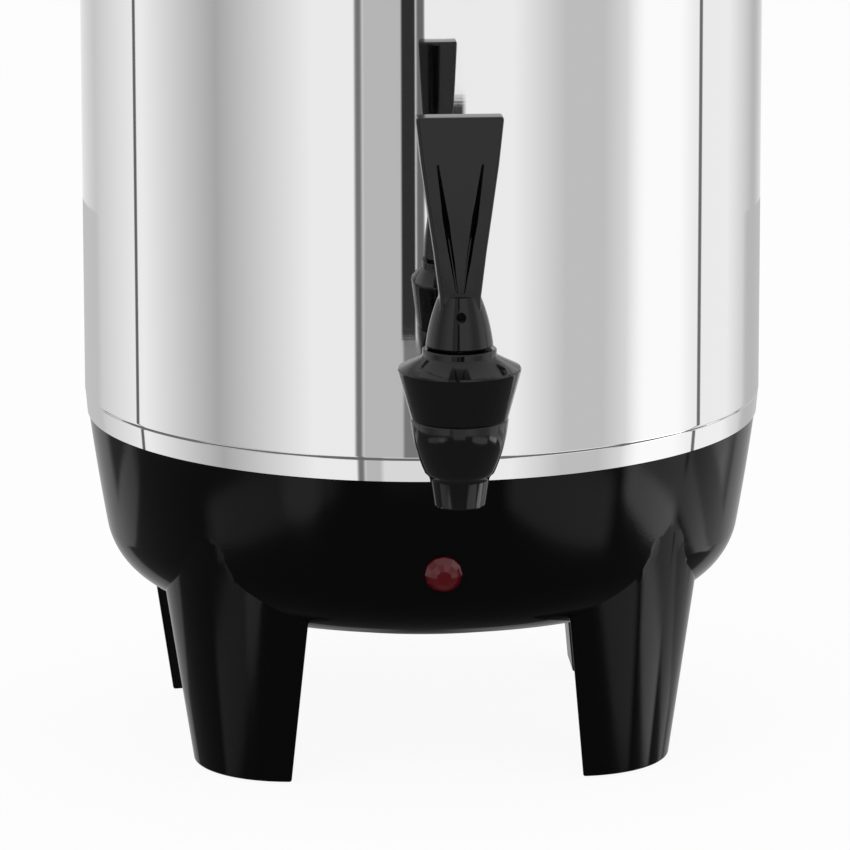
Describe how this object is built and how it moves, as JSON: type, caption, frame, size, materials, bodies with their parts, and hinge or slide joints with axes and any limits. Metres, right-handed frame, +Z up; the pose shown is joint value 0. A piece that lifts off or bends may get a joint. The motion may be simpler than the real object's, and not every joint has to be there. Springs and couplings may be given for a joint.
{
  "type": "coffee urn",
  "caption": "Percolating coffee urn: plain steel cylinder on a black moulded base with legs, lever tap, pilot lamp, side handles, lid and percolator.",
  "frame": {"origin": "on the floor, under the middle of the urn's whole outline with its tap and lid", "axes": "+Z up, -Y towards the tap, +X to the right of someone facing the tap"},
  "size_m": [0.307, 0.3304, 0.4312],
  "materials": {
    "polished_steel": "polished stainless steel",
    "plain_steel": "plain",
    "aluminium_sheet": "satin",
    "black_satin": "black, satin",
    "black_gloss": "black, glossy",
    "tap_black": "black, satin gloss",
    "rubber": "black rubber",
    "silicone": "pale silicone",
    "brass": "plain",
    "heater_sheath": "dull",
    "thermostat_shell": "dark brown",
    "red_jewel": "clear ruby red, faceted"
  },
  "bodies": {
    "urn": {"base_housing": "black_satin", "rubber_feet": "rubber", "bottom_cover": "plain_steel", "tie_rods": "plain_steel", "tie_nuts": "plain_steel", "shield_clips": "plain_steel", "heat_shield": "aluminium_sheet", "urn_body": "polished_steel", "tank_floor": "plain_steel", "heater_well": "plain_steel", "well_gasket": "silicone", "well_nut": "brass", "brew_heater": "heater_sheath", "keep_warm_heater": "heater_sheath", "thermostat": "thermostat_shell", "thermal_fuse": "thermostat_shell", "sensor_bracket": "plain_steel", "bracket_nut": "plain_steel", "pilot_lens": "red_jewel", "pilot_holder": "black_gloss", "pilot_nut": "black_gloss", "power_inlet": "black_satin", "inlet_pins": "brass", "inlet_screws": "plain_steel", "side_handle_right": "black_gloss", "side_handle_left": "black_gloss", "handle_screws": "plain_steel", "handle_washers": "silicone", "spout_body": "tap_black", "tap_seals": "silicone", "tap_nut": "black_gloss", "tap_bonnet": "tap_black", "tap_spring": "plain_steel"},
    "lid": {"lid": "polished_steel", "lid_knob": "black_gloss", "knob_screw": "plain_steel"},
    "pump": {"pump_tube": "plain_steel"},
    "valve_disc": {"pump_valve": "plain_steel"},
    "basket": {"coffee_basket": "aluminium_sheet"},
    "spreader": {"basket_cover": "aluminium_sheet"},
    "stem": {"valve_stem": "plain_steel", "seat_cup": "silicone"},
    "lever": {"tap_handle": "tap_black", "handle_pin": "plain_steel"}
  },
  "joints": [
    {"name": "lever_tilt", "type": "hinge", "parent": "stem", "child": "lever", "pos_m": [0, -0.14535, 0.1815], "axis": [1, 0, 0], "range_deg": [0, 22], "stiffness_Nm_per_rad": 0.3, "springref_deg": -20.05},
    {"name": "stem_lift", "type": "slide", "parent": "urn", "child": "stem", "axis": [0, 0, 1], "range_m": [0, 0.0031], "deforming": ["tap_spring"]},
    {"name": "lid_lift", "type": "slide", "parent": "urn", "child": "lid", "axis": [0, 0, 1], "range_m": [0, 0.45]},
    {"name": "pump_lift", "type": "slide", "parent": "urn", "child": "pump", "axis": [0, 0, 1], "range_m": [0, 0.27]},
    {"name": "basket_lift", "type": "slide", "parent": "pump", "child": "basket", "axis": [0, 0, 1], "range_m": [0, 0.1]},
    {"name": "spreader_lift", "type": "slide", "parent": "basket", "child": "spreader", "axis": [0, 0, 1], "range_m": [0, 0.05]},
    {"name": "valve_rise", "type": "slide", "parent": "pump", "child": "valve_disc", "axis": [0, 0, 1], "range_m": [0, 0.004]}
  ],
  "couplings": [
    {"joint": "stem_lift", "follows": "lever_tilt", "m_per_rad": 0.0078131},
    {"joint": "pump_lift", "follows": "lid_lift", "ratio": 0.6},
    {"joint": "basket_lift", "follows": "lid_lift", "ratio": 0.22},
    {"joint": "spreader_lift", "follows": "lid_lift", "ratio": 0.11}
  ]
}
